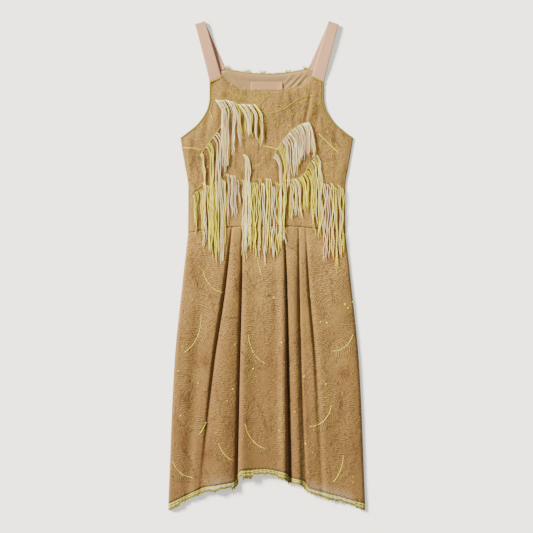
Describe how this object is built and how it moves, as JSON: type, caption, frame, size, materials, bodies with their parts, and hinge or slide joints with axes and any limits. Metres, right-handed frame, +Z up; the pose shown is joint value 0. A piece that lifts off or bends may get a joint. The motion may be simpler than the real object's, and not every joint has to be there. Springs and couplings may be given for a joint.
{
  "type": "sleeveless lace midi dress laid flat",
  "caption": "Sleeveless midi dress of tan lace with ribbon straps, a fringed bodice and a pleated flared skirt, laid flat on its back.",
  "frame": {"origin": "centre of the flat garment on the surface that it lies on", "axes": "+Z up from the surface, +Y from hem to straps, +X to the right as seen from above"},
  "size_m": [0.4922, 1.2224, 0.0226],
  "materials": {
    "lace": "tan corded lace on a toning lining",
    "lining": "smooth woven lining on the inside of the back",
    "ribbon": "pale beige grosgrain ribbon",
    "binding": "olive gold bound edge",
    "edging": "yellow green lace edging",
    "label": "smooth woven satin, bare",
    "fringe_cream": "cream silky thread",
    "fringe_pink": "pale pink beige silky thread",
    "fringe_yellow": "pale yellow silky thread"
  },
  "bodies": {
    "root": {"bodice_front": "lace", "bodice_back": "lining", "skirt_front": "lace", "skirt_back": "lace", "armhole_binding_front_left": "binding", "armhole_binding_front_right": "binding", "armhole_binding_back_left": "binding", "armhole_binding_back_right": "binding", "neck_edging_front": "edging", "neck_edging_back": "edging", "hem_trim_front": "edging", "hem_trim_back": "edging", "strap_left": "ribbon", "strap_right": "ribbon", "label": "label", "fringe_left_waist": "fringe_cream", "fringe_centre_waist": "fringe_yellow", "fringe_right_waist": "fringe_pink", "fringe_left_slope": "fringe_cream", "fringe_centre_lock": "fringe_cream", "fringe_right_arch": "fringe_yellow", "fringe_upper_left": "fringe_cream", "fringe_right_slope": "fringe_cream"}
  },
  "joints": []
}
